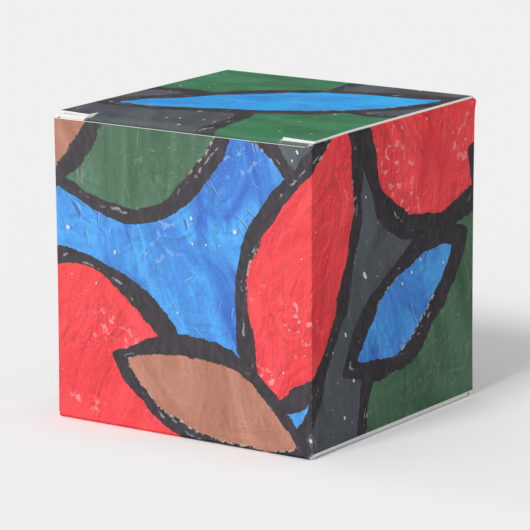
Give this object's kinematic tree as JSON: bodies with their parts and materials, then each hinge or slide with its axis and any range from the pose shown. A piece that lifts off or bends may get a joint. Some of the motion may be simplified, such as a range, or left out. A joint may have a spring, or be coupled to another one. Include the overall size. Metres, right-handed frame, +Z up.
{
  "type": "favor box",
  "caption": "Small cube-shaped favor box folded from printed card, with a hinged lid at the top and another at the bottom, each held by its tuck flap.",
  "frame": {"origin": "centre of the underside, the point under the middle of the closed box", "axes": "+Z up, -Y towards the front wall, into which the top lid tucks, +X towards the right wall"},
  "size_m": [0.0508, 0.0504, 0.0518],
  "materials": {
    "printed_card": "semi-gloss print outside, bare white card inside and at the cut edges"
  },
  "bodies": {
    "walls": {"box_body": "printed_card"},
    "top_lid": {"top_lid": "printed_card"},
    "bottom_lid": {"bottom_lid": "printed_card"}
  },
  "joints": [
    {"name": "top_lid_hinge", "type": "hinge", "parent": "walls", "child": "top_lid", "pos_m": [0, 0.02483, 0.05143], "axis": [-1, 0, 0], "range_deg": [0, 175]},
    {"name": "bottom_lid_hinge", "type": "hinge", "parent": "walls", "child": "bottom_lid", "pos_m": [0, -0.02499, 0.00021], "axis": [-1, 0, 0], "range_deg": [0, 175]}
  ]
}
